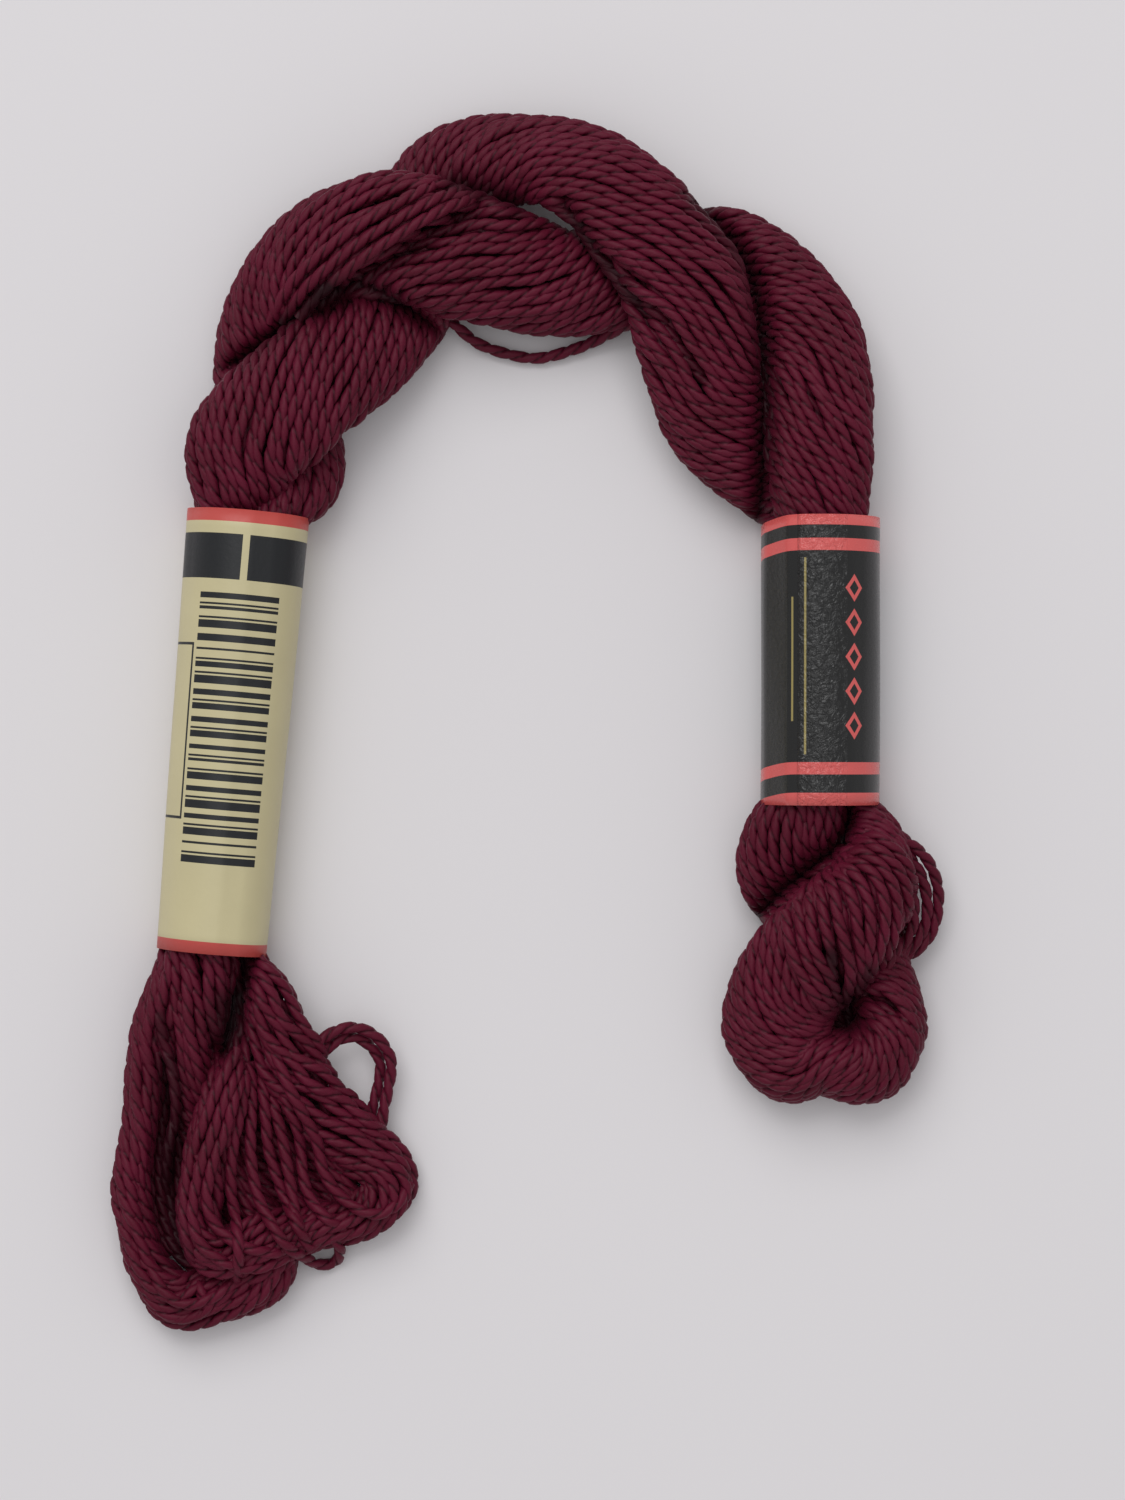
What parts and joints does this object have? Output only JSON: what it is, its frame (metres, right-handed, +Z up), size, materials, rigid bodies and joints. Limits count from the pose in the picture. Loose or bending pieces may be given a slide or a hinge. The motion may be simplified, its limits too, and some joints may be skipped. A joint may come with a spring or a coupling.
{
  "type": "skein of pearl cotton embroidery thread",
  "caption": "Twisted hank of burgundy pearl cotton opened into a U, its legs bound by a long cream paper band and a short black one, with looped ends.",
  "frame": {"origin": "on the surface that the skein lies on, under the middle of its bounding box", "axes": "+Y from the two looped ends towards the arch, +X from the long band towards the short band, +Z up from the surface"},
  "size_m": [0.076, 0.1108, 0.0105],
  "materials": {
    "thread": "mercerised cotton, soft sheen",
    "cream_paper": "printed uncoated paper",
    "black_paper": "printed coated paper"
  },
  "bodies": {
    "root": {"skein": "thread", "long_band": "cream_paper", "short_band": "black_paper"}
  },
  "joints": []
}
